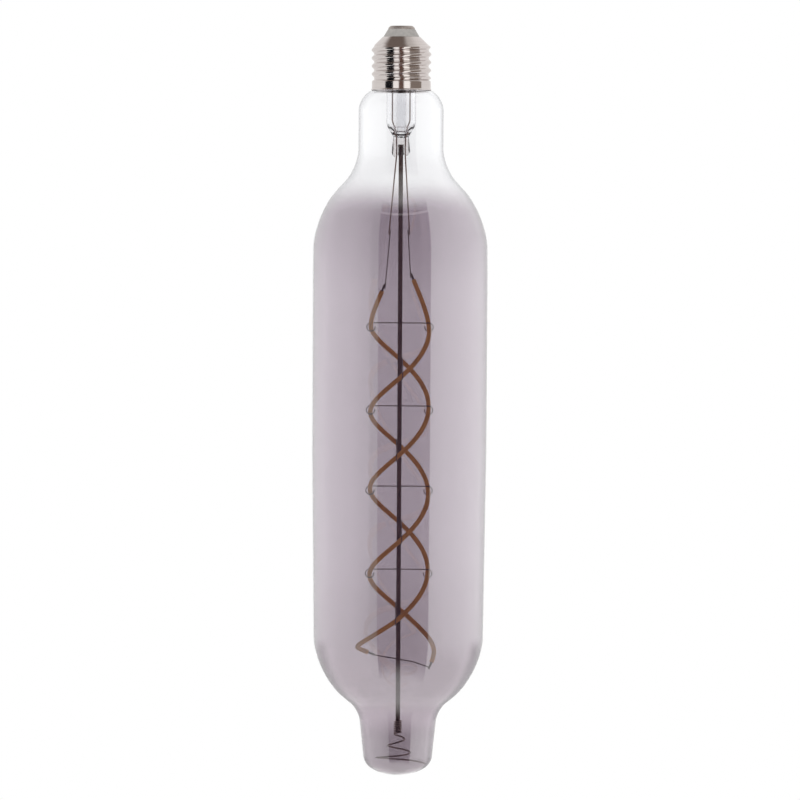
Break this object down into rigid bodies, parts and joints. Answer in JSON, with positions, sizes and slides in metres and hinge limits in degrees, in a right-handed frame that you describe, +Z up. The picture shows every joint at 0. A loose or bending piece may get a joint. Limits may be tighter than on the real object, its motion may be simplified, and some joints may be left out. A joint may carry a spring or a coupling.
{
  "type": "led filament bulb",
  "caption": "Tall smoked glass bulb with a screw cap, a clear neck, a drawn-in foot and soft filament strands wound round a central rod.",
  "frame": {"origin": "middle of the end contact's face, on the bulb's axis", "axes": "+Z up along the axis into the lampholder, the glass hanging down along -Z, -Y to the front"},
  "size_m": [0.0795, 0.0796, 0.3387],
  "materials": {
    "smoked_glass": "clear blown glass with a smoky mirror lining that fades out at the neck",
    "clear_glass": "clear pressed glass",
    "nickel_shell": "bright nickel plate on rolled sheet",
    "insulator_grey": "matt light grey moulding",
    "contact_metal": "dull plated metal",
    "cement": "rough cured cement",
    "dark_rod": "dark drawn rod",
    "spring_steel": "dark drawn spring wire",
    "nickel_wire": "drawn wire",
    "filament_amber": "soft amber coating",
    "board": "satin board",
    "black_plastic": "moulded black",
    "capacitor_sleeve": "shrunk sleeve",
    "resistor_body": "dipped body",
    "hookup_insulation": "insulated wire"
  },
  "bodies": {
    "root": {"basing_cement": "cement", "capacitor": "capacitor_sleeve", "centre_rod": "dark_rod", "contact_lead": "hookup_insulation", "driver_board": "board", "driver_chip": "black_plastic", "end_contact": "contact_metal", "exhaust_tube": "clear_glass", "feed_wire_left": "nickel_wire", "feed_wire_right": "nickel_wire", "filament_a": "filament_amber", "filament_a_bottom_terminal": "nickel_wire", "filament_a_top_terminal": "nickel_wire", "filament_b": "filament_amber", "filament_b_bottom_terminal": "nickel_wire", "filament_b_top_terminal": "nickel_wire", "fuse_resistor": "resistor_body", "glass_envelope": "smoked_glass", "insulator": "insulator_grey", "lead_wire_left": "nickel_wire", "lead_wire_right": "nickel_wire", "link_wire": "nickel_wire", "rectifier": "black_plastic", "screw_shell": "nickel_shell", "shell_lead": "hookup_insulation", "stem_flare": "clear_glass", "support_wire_1": "nickel_wire", "support_wire_2": "nickel_wire", "support_wire_3": "nickel_wire", "support_wire_4": "nickel_wire", "support_wire_5": "nickel_wire", "support_wire_6": "nickel_wire", "support_wire_7": "nickel_wire", "support_wire_8": "nickel_wire", "tail_spring": "spring_steel"}
  },
  "joints": []
}
